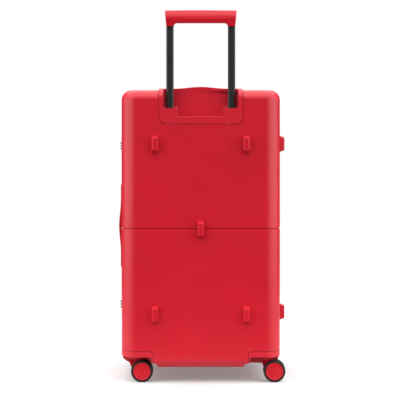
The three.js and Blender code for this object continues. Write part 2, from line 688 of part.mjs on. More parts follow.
function lockBody(side) {
  const centreY = PARTING - GAP - LOCK_WIDTH / 2;
  const trim = LOCK_TRIM;
  const plan = roundedRect(LOCK_LENGTH - 2 * trim, LOCK_WIDTH - 2 * trim, LOCK_R, 0, centreY);
  let body = prism(plan, "z", GAP - trim, LOCK_RISE, { round: trim, roundSteps: 1, curve: 2 });
  body = body.subtract(box(-LOCK_LENGTH, LOCK_LENGTH, -LOCK_LENGTH, LOCK_LENGTH, -PAST, GAP));
  for (const row of [-1, 0, 1]) {
    const x = row * DIAL_PITCH;
    const half = DIAL_THICKNESS / 2 + GAP;
    const reach = DIAL_R + DIAL_CLEARANCE;
    body = body.subtract(box(x - half, x + half, centreY - reach, centreY + reach, -PAST, LOCK_RISE + PAST));
  }
  const shaftHalf = 1.5 * DIAL_PITCH + 3;
  body = body.add(cylinder(DIAL_SHAFT_R, "x", -shaftHalf, shaftHalf, [centreY, DIAL_RISE], 10));
  const slotEnd = LEVER_PIVOT_Y - LEVER_BARREL_R - SLOT_MARGIN;
  body = body.subtract(leverBox(side, LEVER_SLACK, slotEnd, PARTING + LOCK_WIDTH, -PAST, LOCK_RISE + PAST));
  const pinEnds = [side * (LEVER_FROM - SLOT_MARGIN), side * (LEVER_TO + SLOT_MARGIN)];
  const pinFrom = Math.min(...pinEnds);
  const pinTo = Math.max(...pinEnds);
  return body.add(cylinder(LEVER_PIN_R, "x", pinFrom, pinTo, [LEVER_PIVOT_Y, LEVER_PIVOT_RISE], 10));
}

function latchLever(side) {
  const plate = leverBox(side, 0, LEVER_PIVOT_Y, LEVER_END_Y, LOCK_RISE - LEVER_THICKNESS, LOCK_RISE);
  const ends = [side * LEVER_FROM, side * LEVER_TO];
  const pivot = [LEVER_PIVOT_Y, LEVER_PIVOT_RISE];
  const barrel = cylinder(LEVER_BARREL_R, "x", Math.min(...ends), Math.max(...ends), pivot, 12);
  const bore = cylinder(LEVER_PIN_R + GAP, "x", -LOCK_LENGTH, LOCK_LENGTH, pivot, 10);
  return plate.add(barrel).subtract(bore);
}

function dial(row) {
  const centre = [PARTING - GAP - LOCK_WIDTH / 2, DIAL_RISE];
  const from = row * DIAL_PITCH - DIAL_THICKNESS / 2;
  const to = from + DIAL_THICKNESS;
  const disc = cylinder(DIAL_R, "x", from, to, centre, 20);
  return disc.subtract(cylinder(DIAL_SHAFT_R + GAP, "x", from - PAST, to + PAST, centre, 10));
}

function addLock(parent, label, z, leverSide) {
  const holder = new THREE.Group();
  holder.position.set(-SIDE, 0, z);
  holder.rotation.y = -Math.PI / 2;
  addMesh(holder, `lock_body_${label}`, lockBody(leverSide), GREY_FRAME);
  addMesh(holder, `latch_lever_${label}`, latchLever(leverSide), GREY_FRAME);
  for (const row of [-1, 0, 1]) addMesh(holder, `dial_${label}_${row + 2}`, dial(row), DIAL_METAL);
  parent.add(holder);
}

// ---- The whole suitcase ----

const group = new THREE.Group();

addMesh(group, "base_shell", baseShell(), RED_SHELL);
addMesh(group, "lid_shell", lidShell(), RED_SHELL);
addMesh(group, "base_rim", baseRim(), GREY_FRAME);
addMesh(group, "lid_rim", lidRim(), GREY_FRAME);
addMesh(group, "rim_seal", rimSeal(), DARK_RUBBER);
addMesh(group, "hinge_pin", hingePin(), STEEL);

addBackFoot(group, "back_foot_middle", 0, MID_Z);
for (const [end, up] of [["upper", 1], ["lower", -1]]) {
  const z = MID_Z + up * FOOT_SPREAD;
  addBackFoot(group, `back_foot_${end}_left`, -BACK_FOOT_X, z);
  addBackFoot(group, `back_foot_${end}_right`, BACK_FOOT_X, z);
  addSideFoot(group, `base_side_foot_${end}`, BACK + SIDE_FOOT_INSET, z);
  addSideFoot(group, `lid_side_foot_${end}`, LID - SIDE_FOOT_INSET, z);
}

addMesh(group, "trolley_well", trolleyWell(), RED_TRIM);
for (const [side, x] of [["left", -TUBE_X], ["right", TUBE_X]]) {
  const guideTop = LEDGE_Z - BEZEL_WALL - GAP;
  const grow = GUIDE_CLEARANCE + TUBE_WALL;
  addMesh(group, `guide_tube_${side}`, sectionTube(x, grow, GUIDE_BOTTOM, guideTop), STEEL);
  addMesh(group, `trolley_tube_${side}`, sectionTube(x, 0, TUBE_BOTTOM, GRIP_BOTTOM - GAP), BLACK_TUBE);
}
addMesh(group, "trolley_grip", trolleyGrip(), RED_TRIM);
addMesh(group, "grip_button", gripButton(), RED_TRIM);

for (const [half, y] of [["back", BACK + SWIVEL_INSET], ["front", LID - SWIVEL_INSET]]) {
  for (const [side, x] of [["left", -SWIVEL_X], ["right", SWIVEL_X]]) {
    addMesh(group, `wheel_housing_${half}_${side}`, wheelHousing(x, y), RED_TRIM);
    addCaster(group, `${half}_${side}`, x, y);
  }
}

addCarryHandle(group, "top", new THREE.Vector3(0, HANDLE_Y, TOP), 0);
addCarryHandle(group, "side", new THREE.Vector3(-SIDE, HANDLE_Y, MID_Z), -Math.PI / 2);
addLock(group, "upper", MID_Z + LOCK_SPREAD, -1);
addLock(group, "lower", MID_Z - LOCK_SPREAD, 1);

export default group;
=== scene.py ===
# Hard-shell suitcase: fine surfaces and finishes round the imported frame. Metres, +Z up, the back
# (trolley side) facing -Y, the lid facing +Y, the hinge on the +X side and the locks on the -X side.

import json
import math
from contextlib import contextmanager

import bmesh
import bpy
from mathutils import Matrix, Vector


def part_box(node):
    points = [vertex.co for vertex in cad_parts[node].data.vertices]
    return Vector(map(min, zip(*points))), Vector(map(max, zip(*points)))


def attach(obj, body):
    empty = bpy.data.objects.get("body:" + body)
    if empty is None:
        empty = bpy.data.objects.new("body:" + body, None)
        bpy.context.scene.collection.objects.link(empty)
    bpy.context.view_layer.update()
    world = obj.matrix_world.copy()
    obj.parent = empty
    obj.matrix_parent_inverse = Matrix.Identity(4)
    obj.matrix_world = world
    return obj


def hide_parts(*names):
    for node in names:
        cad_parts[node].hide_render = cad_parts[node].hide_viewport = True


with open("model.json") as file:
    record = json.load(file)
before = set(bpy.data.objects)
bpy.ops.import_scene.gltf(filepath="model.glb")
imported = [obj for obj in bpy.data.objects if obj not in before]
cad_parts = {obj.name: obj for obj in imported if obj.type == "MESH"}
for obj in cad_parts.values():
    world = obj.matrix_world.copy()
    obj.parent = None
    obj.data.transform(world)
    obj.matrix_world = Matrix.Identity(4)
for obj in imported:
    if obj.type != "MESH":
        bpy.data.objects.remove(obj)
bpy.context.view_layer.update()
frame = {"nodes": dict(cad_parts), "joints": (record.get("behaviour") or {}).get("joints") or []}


# ---- Places read from the frame ----

def box_of(node):
    low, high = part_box(node)
    return Vector(low), Vector(high)


def centre_of(node):
    low, high = box_of(node)
    return (low + high) / 2


SHELL_LOW, SHELL_HIGH = box_of("base_shell")
SIDE = SHELL_HIGH.x
BACK = SHELL_LOW.y
FRONT = box_of("lid_shell")[1].y
BOTTOM = SHELL_LOW.z
TOP = SHELL_HIGH.z
MIDDLE = (BOTTOM + TOP) / 2
PARTING = (BACK + FRONT) / 2
GAP = PARTING - SHELL_HIGH.y

# ---- Sizes of the case ----
UPRIGHT_R = 0.040
EDGE_R = 0.025
SKIN = 0.003
GROOVE_HALF = 0.00275
GROOVE_DEPTH = 0.0024
GROOVE_SLOPE = 0.0017
SOFT_EDGE = 0.0006
SEAM = 0.0011  # the open line that is seen round a piece let into the shell
SEAM_EDGE = 0.0011

# ---- Sizes round the casters ----
WELL_HALF = 0.047
WELL_CORNER = 0.018
WELL_ROUND = 0.010
WELL_CEILING = 0.0795
RAISED_BOTTOM = 0.048
RAISED_WIDTH = 0.008
RAISED_SLOPE = 0.005
HOUSING_WALL = 0.0026
HOUSING_CEILING = 0.065

UP = Vector((0, 0, 1))
AXES = {"x": Vector((1, 0, 0)), "y": Vector((0, 1, 0)), "z": UP}


# ---- Modelling ----

def select_only(piece):
    if bpy.context.object and bpy.context.object.mode != "OBJECT":
        bpy.ops.object.mode_set(mode="OBJECT")
    bpy.ops.object.select_all(action="DESELECT")
    piece.select_set(True)
    bpy.context.view_layer.objects.active = piece


def settle(piece):
    """Puts the object's place, turn and size into its mesh."""
    select_only(piece)
    bpy.ops.object.transform_apply(location=True, rotation=True, scale=True)
    return piece


def block(name, low, high):
    low, high = Vector(low), Vector(high)
    bpy.ops.object.select_all(action="DESELECT")
    bpy.ops.mesh.primitive_cube_add(size=1, location=(low + high) / 2)
    piece = bpy.context.object
    piece.name = piece.data.name = name
    piece.scale = high - low
    return settle(piece)


def round_bar(name, start, end, radius, sides=48):
    start, end = Vector(start), Vector(end)
    along = end - start
    bpy.ops.object.select_all(action="DESELECT")
    bpy.ops.mesh.primitive_cylinder_add(
        vertices=sides, radius=radius, depth=along.length, location=(start + end) / 2,
        rotation=along.to_track_quat("Z", "Y").to_euler(),
    )
    piece = bpy.context.object
    piece.name = piece.data.name = name
    return settle(piece)


@contextmanager
def editing(piece):
    select_only(piece)
    bpy.ops.object.mode_set(mode="EDIT")
    bpy.ops.mesh.select_mode(type="VERT")
    bpy.ops.mesh.select_all(action="DESELECT")
    yield
    bpy.ops.object.mode_set(mode="OBJECT")


def pick(kind, test):
    """Selects the vertices, edges or faces that pass a test, and nothing else."""
    bpy.ops.mesh.select_mode(type=kind)
    bpy.ops.mesh.select_all(action="DESELECT")
    data = bpy.context.edit_object.data
    mesh = bmesh.from_edit_mesh(data)
    parts = {"VERT": mesh.verts, "EDGE": mesh.edges, "FACE": mesh.faces}[kind]
    chosen = [part for part in parts if test(part)]
    for part in chosen:
        part.select_set(True)
    mesh.select_flush_mode()
    bmesh.update_edit_mesh(data)
    return len(chosen)


def middle_of(part):
    if isinstance(part, bmesh.types.BMFace):
        return part.calc_center_median()
    if isinstance(part, bmesh.types.BMVert):
        return part.co
    return (part.verts[0].co + part.verts[1].co) / 2


def runs_along(edge, axis):
    way = (edge.verts[1].co - edge.verts[0].co).normalized()
    return abs(way.dot(AXES[axis])) > 0.999


def is_corner(edge, degrees=35):
    return len(edge.link_faces) == 2 and edge.calc_face_angle(0) > math.radians(degrees)


def faces_to(face, way):
    return face.normal.dot(Vector(way)) > 0.99


def round_edges(piece, test, radius, segments):
    with editing(piece):
        pick("EDGE", test)
        bpy.ops.mesh.bevel(offset=radius, segments=segments, profile=0.5, affect="EDGES")


def slice_at(place, normal, clear_inner=False, clear_outer=False):
    bpy.ops.mesh.select_all(action="SELECT")
    bpy.ops.mesh.bisect(
        plane_co=place, plane_no=normal, clear_inner=clear_inner, clear_outer=clear_outer,
    )


def apply_modifier(piece, kind, **settings):
    modifier = piece.modifiers.new(kind.lower(), kind)
    for key, value in settings.items():
        setattr(modifier, key, value)
    select_only(piece)
    bpy.ops.object.modifier_apply(modifier=modifier.name)


def combine(piece, other, operation="DIFFERENCE"):
    apply_modifier(piece, "BOOLEAN", object=other, operation=operation, solver="EXACT")
    bpy.data.objects.remove(other)
    return piece


def soften(piece, width=SOFT_EDGE, segments=2, degrees=32):
    """Takes the sharpness off every corner, and keeps flats flat in the shading."""
    apply_modifier(
        piece, "BEVEL", width=width, segments=segments, limit_method="ANGLE",
        angle_limit=math.radians(degrees), miter_outer="MITER_ARC", use_clamp_overlap=True,
    )
    return smooth(piece)


def smooth(piece, degrees=40):
    select_only(piece)
    bpy.ops.object.shade_smooth_by_angle(angle=math.radians(degrees))
    apply_modifier(piece, "WEIGHTED_NORMAL", keep_sharp=True, weight=80)
    return piece


def copy_of(piece, name, place=(0, 0, 0), turn=None):
    other = piece.copy()
    other.data = piece.data.copy()
    other.name = other.data.name = name
    bpy.context.collection.objects.link(other)
    other.matrix_world = Matrix.Translation(Vector(place)) @ (turn or Matrix.Identity(4))
    return settle(other)


def place_piece(piece, body, slot, finish, *nodes):
    piece.data.materials.clear()
    piece.data.materials.append(finish)
    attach(piece, body)
    if nodes:
        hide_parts(*nodes)
    return piece


# ---- Finishes ----

def node_tree(name):
    material = bpy.data.materials.new(name)
    material.use_nodes = True
    tree = material.node_tree
    shader = tree.nodes["Principled BSDF"]
    return material, tree, shader


def noise(tree, scale, detail=3.0, roughness=0.5, coordinates=None):
    texture = tree.nodes.new("ShaderNodeTexNoise")
    texture.inputs["Scale"].default_value = scale
    texture.inputs["Detail"].default_value = detail
    texture.inputs["Roughness"].default_value = roughness
    tree.links.new(coordinates, texture.inputs["Vector"])
    return texture.outputs["Fac"]


def object_coordinates(tree):
    return tree.nodes.new("ShaderNodeTexCoord").outputs["Object"]


def spread(tree, value, low, high, to_low, to_high):
    ranged = tree.nodes.new("ShaderNodeMapRange")
    for socket, number in zip(("From Min", "From Max", "To Min", "To Max"), (low, high, to_low, to_high)):
        ranged.inputs[socket].default_value = number
    tree.links.new(value, ranged.inputs["Value"])
    return ranged.outputs["Result"]


def blend_colour(tree, factor, first, second):
    mix = tree.nodes.new("ShaderNodeMix")
    mix.data_type = "RGBA"
    tree.links.new(factor, mix.inputs["Factor"])
    inputs = [s for s in mix.inputs if s.type == "RGBA"]
    for socket, colour in zip(inputs, (first, second)):
        if hasattr(colour, "is_linked"):
            tree.links.new(colour, socket)
        else:
            socket.default_value = (*colour, 1)
    return [s for s in mix.outputs if s.type == "RGBA"][0]


def rubbed_and_highlit_edge(tree, reach):
    """How strongly a place lies on a sharp edge, from 0 to 1."""
    rounded = tree.nodes.new("ShaderNodeBevel")
    rounded.samples = 4
    rounded.inputs["Radius"].default_value = reach
    facing = tree.nodes.new("ShaderNodeVectorMath")
    facing.operation = "DOT_PRODUCT"
    tree.links.new(rounded.outputs["Normal"], facing.inputs[0])
    tree.links.new(tree.nodes.new("ShaderNodeNewGeometry").outputs["Normal"], facing.inputs[1])
    return spread(tree, facing.outputs["Value"], 0.98, 0.75, 0, 1)


def bump(tree, height, distance):
    node = tree.nodes.new("ShaderNodeBump")
    node.inputs["Distance"].default_value = distance
    tree.links.new(height, node.inputs["Height"])
    return node.outputs["Normal"]


def moulded_plastic(name, colour, worn_and_highlit, roughness, grain=1400, depth=0.000008, specular=0.3):
    """Moulded plastic: fine grain, faint cloudiness in the colour, and paler edges that are partly rubbed
    wear and partly a painted highlight.
    """
    material, tree, shader = node_tree(name)
    place = object_coordinates(tree)
    cloud = noise(tree, 9.0, detail=4, coordinates=place)
    fine = noise(tree, grain, detail=2, coordinates=place)
    deeper = tuple(c * 0.93 for c in colour)
    body = blend_colour(tree, spread(tree, cloud, 0.35, 0.65, 0, 1), colour, deeper)
    # paler edges: partly rubbed wear, partly a painted highlight along every sharp edge
    edge = spread(tree, rubbed_and_highlit_edge(tree, 0.0012), 0, 1, 0, 0.22)
    tree.links.new(blend_colour(tree, edge, body, worn_and_highlit), shader.inputs["Base Color"])
    scuffs = noise(tree, 38.0, detail=6, roughness=0.7, coordinates=place)
    rough = spread(tree, scuffs, 0.3, 0.7, roughness - 0.03, roughness + 0.03)
    tree.links.new(rough, shader.inputs["Roughness"])
    shader.inputs["Specular IOR Level"].default_value = specular
    tree.links.new(bump(tree, fine, depth), shader.inputs["Normal"])
    return material


def metal(name, colour, roughness, stretch=(1, 1, 1), depth=0.000004, metallic=1.0):
    """Metal with a fine directional grain."""
    material, tree, shader = node_tree(name)
    mapping = tree.nodes.new("ShaderNodeMapping")
    mapping.inputs["Scale"].default_value = stretch
    tree.links.new(object_coordinates(tree), mapping.inputs["Vector"])
    place = mapping.outputs["Vector"]
    grain = noise(tree, 900, detail=3, coordinates=place)
    cloud = noise(tree, 30, detail=3, coordinates=place)
    deeper = tuple(c * 0.8 for c in colour)
    shade = blend_colour(tree, spread(tree, cloud, 0.3, 0.7, 0, 1), colour, deeper)
    tree.links.new(shade, shader.inputs["Base Color"])
    shader.inputs["Metallic"].default_value = metallic
    rough = spread(tree, grain, 0.3, 0.7, roughness - 0.06, roughness + 0.08)
    tree.links.new(rough, shader.inputs["Roughness"])
    tree.links.new(bump(tree, grain, depth), shader.inputs["Normal"])
    return material


def rubber(name, colour):
    material, tree, shader = node_tree(name)
    place = object_coordinates(tree)
    dust = noise(tree, 60, detail=5, roughness=0.65, coordinates=place)
    fine = noise(tree, 1800, detail=2, coordinates=place)
    dusty = tuple(c * 2 + 0.001 for c in colour)
    shade = blend_colour(tree, spread(tree, dust, 0.45, 0.75, 0, 1), colour, dusty)
    tree.links.new(shade, shader.inputs["Base Color"])
    tree.links.new(spread(tree, dust, 0.3, 0.7, 0.55, 0.75), shader.inputs["Roughness"])
    shader.inputs["Specular IOR Level"].default_value = 0.25
    tree.links.new(bump(tree, fine, 0.00004), shader.inputs["Normal"])
    return material


SHELL_RED = (0.470, 0.0055, 0.0165)
# the paler red of the edges: partly worn plastic, partly a painted highlight
WORN_AND_HIGHLIT_RED = (0.70, 0.09, 0.11)
TRIM_RED = (0.480, 0.011, 0.024)

shell_finish = moulded_plastic("shell_polycarbonate", SHELL_RED, WORN_AND_HIGHLIT_RED, 0.38, specular=0.36)
foot_finish = moulded_plastic("foot_plastic", SHELL_RED, WORN_AND_HIGHLIT_RED, 0.36, grain=900)
trim_finish = moulded_plastic("trim_plastic", TRIM_RED, WORN_AND_HIGHLIT_RED, 0.34, grain=1100)
grip_finish = moulded_plastic("grip_plastic", SHELL_RED, WORN_AND_HIGHLIT_RED, 0.30, grain=1100)
handle_finish = moulded_plastic("handle_plastic", (0.40, 0.006, 0.014), WORN_AND_HIGHLIT_RED, 0.36)
fork_finish = moulded_plastic("fork_plastic", SHELL_RED, WORN_AND_HIGHLIT_RED, 0.33, grain=1000)
hub_finish = moulded_plastic("hub_plastic", (0.44, 0.006, 0.014), WORN_AND_HIGHLIT_RED, 0.40, grain=1000, specular=0.2)
tyre_finish = rubber("tyre_rubber", (0.004, 0.004, 0.004))
seal_finish = rubber("seal_rubber", (0.012, 0.012, 0.012))
tube_finish = metal("tube_coating", (0.009, 0.009, 0.009), 0.42, stretch=(1, 1, 0.05), metallic=0.0)
guide_finish = metal("guide_metal", (0.42, 0.43, 0.45), 0.35, stretch=(1, 1, 0.05))
rim_finish = metal("rim_metal", (0.33, 0.34, 0.35), 0.32, stretch=(1, 0.1, 1))
hinge_finish = metal("hinge_metal", (0.45, 0.46, 0.47), 0.28, stretch=(1, 1, 0.05))
lock_finish = metal("lock_metal", (0.26, 0.27, 0.28), 0.35)
dial_finish = metal("dial_metal", (0.18, 0.18, 0.19), 0.38)


# ---- Case shells ----

def case_form(name, inset=0.0):
    low = (-SIDE + inset, BACK + inset, BOTTOM + inset)
    high = (SIDE - inset, FRONT - inset, TOP - inset)
    piece = block(name, low, high)
    round_edges(piece, lambda e: runs_along(e, "z"), UPRIGHT_R - inset, 14)
    flat = lambda e: abs(e.verts[0].co.z - e.verts[1].co.z) < 1e-6 and is_corner(e, 60)
    round_edges(piece, flat, EDGE_R - inset, 10)
    return piece


def cut_groove(piece):
    """A shallow groove all the way round the case at half its height, with eased edges."""
    floor_half = GROOVE_HALF - GROOVE_SLOPE
    with editing(piece):
        for offset in (-GROOVE_HALF, -floor_half, floor_half, GROOVE_HALF):
            slice_at((0, 0, MIDDLE + offset), UP)
        pick("VERT", lambda v: abs(v.co.z - MIDDLE) < floor_half + 0.0002)
        bpy.ops.transform.shrink_fatten(value=-GROOVE_DEPTH, use_even_offset=True)


def well_block(x, y, grow=0.0):
    half = WELL_HALF + grow
    piece = block("well_block", (x - half, y - half, -0.02), (x + half, y + half, WELL_CEILING + grow))
    round_edges(piece, lambda e: runs_along(e, "z"), WELL_CORNER + grow, 10)
    lid_edge = lambda e: min(v.co.z for v in e.verts) > WELL_CEILING + grow - 1e-5
    round_edges(piece, lid_edge, WELL_ROUND + grow, 6)
    return piece


def raised_band(x, y):
    """The cutter that lifts the case's underside in a sloping band round a caster."""
    half = WELL_HALF + RAISED_WIDTH + RAISED_SLOPE
    piece = block("raised_band", (x - half, y - half, -0.02), (x + half, y + half, BOTTOM))
    round_edges(piece, lambda e: runs_along(e, "z"), WELL_CORNER + RAISED_WIDTH + RAISED_SLOPE, 10)
    with editing(piece):
        pick("FACE", lambda f: faces_to(f, UP))
        bpy.ops.mesh.extrude_region_move(TRANSFORM_OT_translate={"value": (0, 0, 0.0001)})
        bpy.ops.mesh.inset(thickness=RAISED_SLOPE)
        bpy.ops.transform.translate(value=(0, 0, RAISED_BOTTOM - BOTTOM))
    return piece


BEZEL_LOW, BEZEL_HIGH = box_of("trolley_well")
BEZEL_R = 0.020


def bezel_hole(piece):
    """Opens the back and top of the shell where the trolley well sits."""
    half = BEZEL_HIGH.x + SEAM
    low = BEZEL_LOW.z - SEAM
    inner = BEZEL_HIGH.y + GAP
    cutter = block("bezel_cutter", (-half, BACK - 0.02, low), (half, inner, TOP + 0.03))
    lower = lambda e: runs_along(e, "y") and middle_of(e).z < low + 0.001
    round_edges(cutter, lower, BEZEL_R, 10)
    combine(piece, cutter)
    slack = 0.0005

    def in_pocket(face):
        centre = middle_of(face)
        across = abs(centre.x) < half + slack
        deep = BACK + slack < centre.y < inner + slack
        return across and deep and low - slack < centre.z < TOP - slack and face.normal.y < 0.5

    with editing(piece):
        pick("FACE", in_pocket)
        bpy.ops.mesh.delete(type="FACE")


def half_shell(name, body, rear):
    piece = case_form(name)
    cut_groove(piece)
    for side in ("left", "right"):
        x, y = swivel_place(f"{'back' if rear else 'front'}_{side}")
        combine(piece, well_block(x, y, SEAM - GAP))
        combine(piece, raised_band(x, y))
    if rear:
        bezel_hole(piece)
    with editing(piece):
        if rear:
            slice_at((0, PARTING - GAP, 0), (0, 1, 0), clear_outer=True)
        else:
            slice_at((0, PARTING + GAP, 0), (0, 1, 0), clear_inner=True)
    apply_modifier(piece, "SOLIDIFY", thickness=SKIN, offset=-1, use_even_offset=True, thickness_clamp=0.5)
    combine(piece, hinge_notch())
    if not rear:
        for end in (-1, 1):
            combine(piece, keeper(end), "UNION")
    soften(piece, width=SEAM_EDGE, segments=3, degrees=50)
    return place_piece(piece, body, "shell_red", shell_finish, name.replace("fine_", ""))


def joint_place(name):
    joint = next(j for j in frame["joints"] if j["name"] == name)
    return Vector(joint["pos_m"])


def swivel_place(label):
    place = joint_place(f"swivel_{label}")
    return place.x, place.y


HINGE = joint_place("lid_hinge")
HINGE_LOW, HINGE_HIGH = box_of("hinge_pin")
LEAF_NEAR = 0.0026
LEAF_FAR = 0.0049


def hinge_notch():
    reach = LEAF_FAR + GAP
    low = (HINGE.x - 0.02, PARTING - reach, HINGE_LOW.z - GAP)
    high = (HINGE.x + 0.02, PARTING + reach, HINGE_HIGH.z + GAP)
    return block("hinge_notch", low, high)


# ---- The blocks on the lid that the latch levers close over ----
KEEPER_RISE = 0.0034
KEEPER_DEPTH = 0.009
LOCK_SPREAD = 0.207
LEVER_FROM = 0.0155
LEVER_TO = 0.032


def keeper(end):
    spans = sorted(MIDDLE + end * (LOCK_SPREAD - reach) for reach in (LEVER_FROM, LEVER_TO))
    front = PARTING + GAP
    low = (-SIDE - KEEPER_RISE, front, spans[0])
    return block("keeper", low, (-SIDE + SKIN / 2, front + KEEPER_DEPTH, spans[1]))


half_shell("fine_base_shell", "base", True)
half_shell("fine_lid_shell", "lid", False)


# ---- Trolley well, tubes and grip ----

RECESS_HALF = 0.094
RECESS_DEPTH = 0.034
LEDGE = 0.688
POCKET_HALF = 0.059
POCKET_BOTTOM = 0.6665
TUBE_ROUND = 0.004


def recess_cutter(half, bottom, radius, fillet):
    low = (-half, BACK - 0.03, bottom)
    high = (half, BACK + RECESS_DEPTH, BEZEL_HIGH.z + 0.03)
    piece = block("recess_cutter", low, high)
    lower = lambda e: runs_along(e, "y") and middle_of(e).z < bottom + 0.001
    round_edges(piece, lower, radius, 8)
    rear = BACK + RECESS_DEPTH - 1e-5
    inner = lambda e: min(v.co.y for v in e.verts) > rear and middle_of(e).z < BEZEL_HIGH.z
    round_edges(piece, inner, fillet, 5)
    return piece


def tube_bar(name, node, grow, bottom, top, round_r):
    """A bar of a trolley tube's section, grown all round."""
    low, high = box_of(node)
    piece = block(name, (low.x - grow, low.y - grow, bottom), (high.x + grow, high.y + grow, top))
    round_edges(piece, lambda e: runs_along(e, "z"), round_r + grow, 8)
    return piece


def trolley_well():
    piece = block("fine_trolley_well", BEZEL_LOW, BEZEL_HIGH)
    lower = lambda e: runs_along(e, "y") and middle_of(e).z < BEZEL_LOW.z + 0.001
    round_edges(piece, lower, BEZEL_R - GAP, 12)
    top_back = lambda e: runs_along(e, "x") and middle_of(e).z > TOP and middle_of(e).y < BACK + 0.001
    round_edges(piece, top_back, EDGE_R, 10)
    combine(piece, recess_cutter(RECESS_HALF, LEDGE, 0.006, 0.005))
    combine(piece, recess_cutter(POCKET_HALF, POCKET_BOTTOM, 0.0035, 0.002))
    for side in ("left", "right"):
        node = f"trolley_tube_{side}"
        combine(piece, tube_bar("hole", node, 0.0006, LEDGE - 0.01, LEDGE + 0.01, TUBE_ROUND))
        guide_top = box_of(f"guide_tube_{side}")[1].z + GAP
        combine(piece, tube_bar("hole", node, 0.0022, BEZEL_LOW.z - 0.01, guide_top, TUBE_ROUND))
    soften(piece, width=0.0014, segments=3)
    place_piece(piece, "base", "trim_red", trim_finish, "trolley_well")


def trolley_tubes():
    for side in ("left", "right"):
        node = f"trolley_tube_{side}"
        low, high = box_of(node)
        piece = tube_bar(f"fine_{node}", node, 0, low.z, high.z, TUBE_ROUND)
        smooth(piece)
        place_piece(piece, "trolley", "tube_black", tube_finish, node)


GRIP_LOW, GRIP_HIGH = box_of("trolley_grip")
GRIP_BOTTOM = 0.8939
GRIP_UNDERSIDE = 0.9024
GRIP_LEG_HALF = 0.0867
GRIP_LEG_IN = 0.0678
GRIP_EDGE = 0.0045
GRIP_CREASE = 0.0233
# Distances below the top of the grip, and its depth there as a share of its deepest place.
GRIP_SECTION = (
    (0.0285, 0.88), (0.0225, 1.0), (0.0165, 0.94), (0.0110, 0.82), (0.0060, 0.66), (0.0025, 0.51),
    (0.0008, 0.44),
)
GRIP_TOP_DEPTH = 0.40
GRIP_CORNER_R = 0.0045
# Distances from the middle of the grip, and how far its top has dropped there.
GRIP_CROWN = ((0.03, 0.0001), (0.06, 0.0004))
GRIP_END_DROP = 0.0006


def grip_half(height):
    """Half the width of the grip at a height: it widens evenly up to its rounded top corners."""
    rise = (height - GRIP_BOTTOM) / (GRIP_HIGH.z - GRIP_BOTTOM)
    below = min(GRIP_HIGH.z - height, GRIP_CORNER_R)
    turned = GRIP_CORNER_R - math.sqrt(GRIP_CORNER_R ** 2 - (GRIP_CORNER_R - below) ** 2)
    return GRIP_LEG_HALF + (GRIP_HIGH.x - GRIP_LEG_HALF) * rise - turned


def shape_grip():
    """Narrows the grip being edited towards its top and legs, and crowns its top."""
    half, top = GRIP_HIGH.x, GRIP_HIGH.z
    middle = (GRIP_LOW.y + GRIP_HIGH.y) / 2
    levels = [(top - below, depth) for below, depth in GRIP_SECTION]
    for height, depth in levels:
        slice_at((0, 0, height), UP)
    for height, depth in levels + [(GRIP_BOTTOM, 0.86), (top, GRIP_TOP_DEPTH)]:
        pick("VERT", lambda v, height=height: abs(v.co.z - height) < 1e-5)
        size = (grip_half(height) / half, depth, 1)
        bpy.ops.transform.resize(value=size, center_override=(0, middle, height))
    for x in [side * place for place, drop in GRIP_CROWN for side in (-1, 1)] + [0]:
        slice_at((x, 0, 0), (1, 0, 0))
    for place, drop in GRIP_CROWN + ((grip_half(top), GRIP_END_DROP),):
        pick("VERT", lambda v, place=place: v.co.z > top - 0.0001 and abs(abs(v.co.x) - place) < 0.002)
        bpy.ops.transform.translate(value=(0, 0, -drop))


def trolley_grip():
    low, high = GRIP_LOW, GRIP_HIGH
    piece = block("fine_trolley_grip", (low.x, low.y, GRIP_BOTTOM), high)
    with editing(piece):
        shape_grip()
    inner = (-GRIP_LEG_IN, low.y - 0.01, GRIP_BOTTOM - 0.01)
    opening = block("opening", inner, (GRIP_LEG_IN, high.y + 0.01, GRIP_UNDERSIDE))
    round_edges(opening, lambda e: runs_along(e, "y") and middle_of(e).z > GRIP_BOTTOM, 0.008, 8)
    combine(piece, opening)
    apply_modifier(
        piece, "BEVEL", width=GRIP_EDGE, segments=6, limit_method="ANGLE", angle_limit=math.radians(62),
        miter_outer="MITER_ARC",
    )
    crease = high.z - GRIP_CREASE
    with editing(piece):
        for offset in (-0.0006, 0.0, 0.0006):
            slice_at((0, 0, crease + offset), UP)
        pick("VERT", lambda v: abs(v.co.z - crease) < 0.0002)
        bpy.ops.transform.shrink_fatten(value=-0.0006)
    cut_low, cut_high = box_of("grip_button")
    slack = Vector((0.0006, 0.0006, 0.0035))
    slot_cut = block("slot_cut", cut_low - slack, cut_high + slack)
    round_edges(slot_cut, lambda e: runs_along(e, "z"), 0.0034, 6)
    combine(piece, slot_cut)
    smooth(piece, 58)
    place_piece(piece, "trolley", "grip_red", grip_finish, "trolley_grip")


def grip_button():
    low, high = box_of("grip_button")
    piece = block("fine_grip_button", low, high)
    round_edges(piece, lambda e: runs_along(e, "z"), 0.003, 6)
    soften(piece, width=0.0012, segments=3)
    place_piece(piece, "grip_button", "grip_red", grip_finish, "grip_button")


trolley_well()
trolley_tubes()
trolley_grip()
grip_button()


# ---- Feet ----

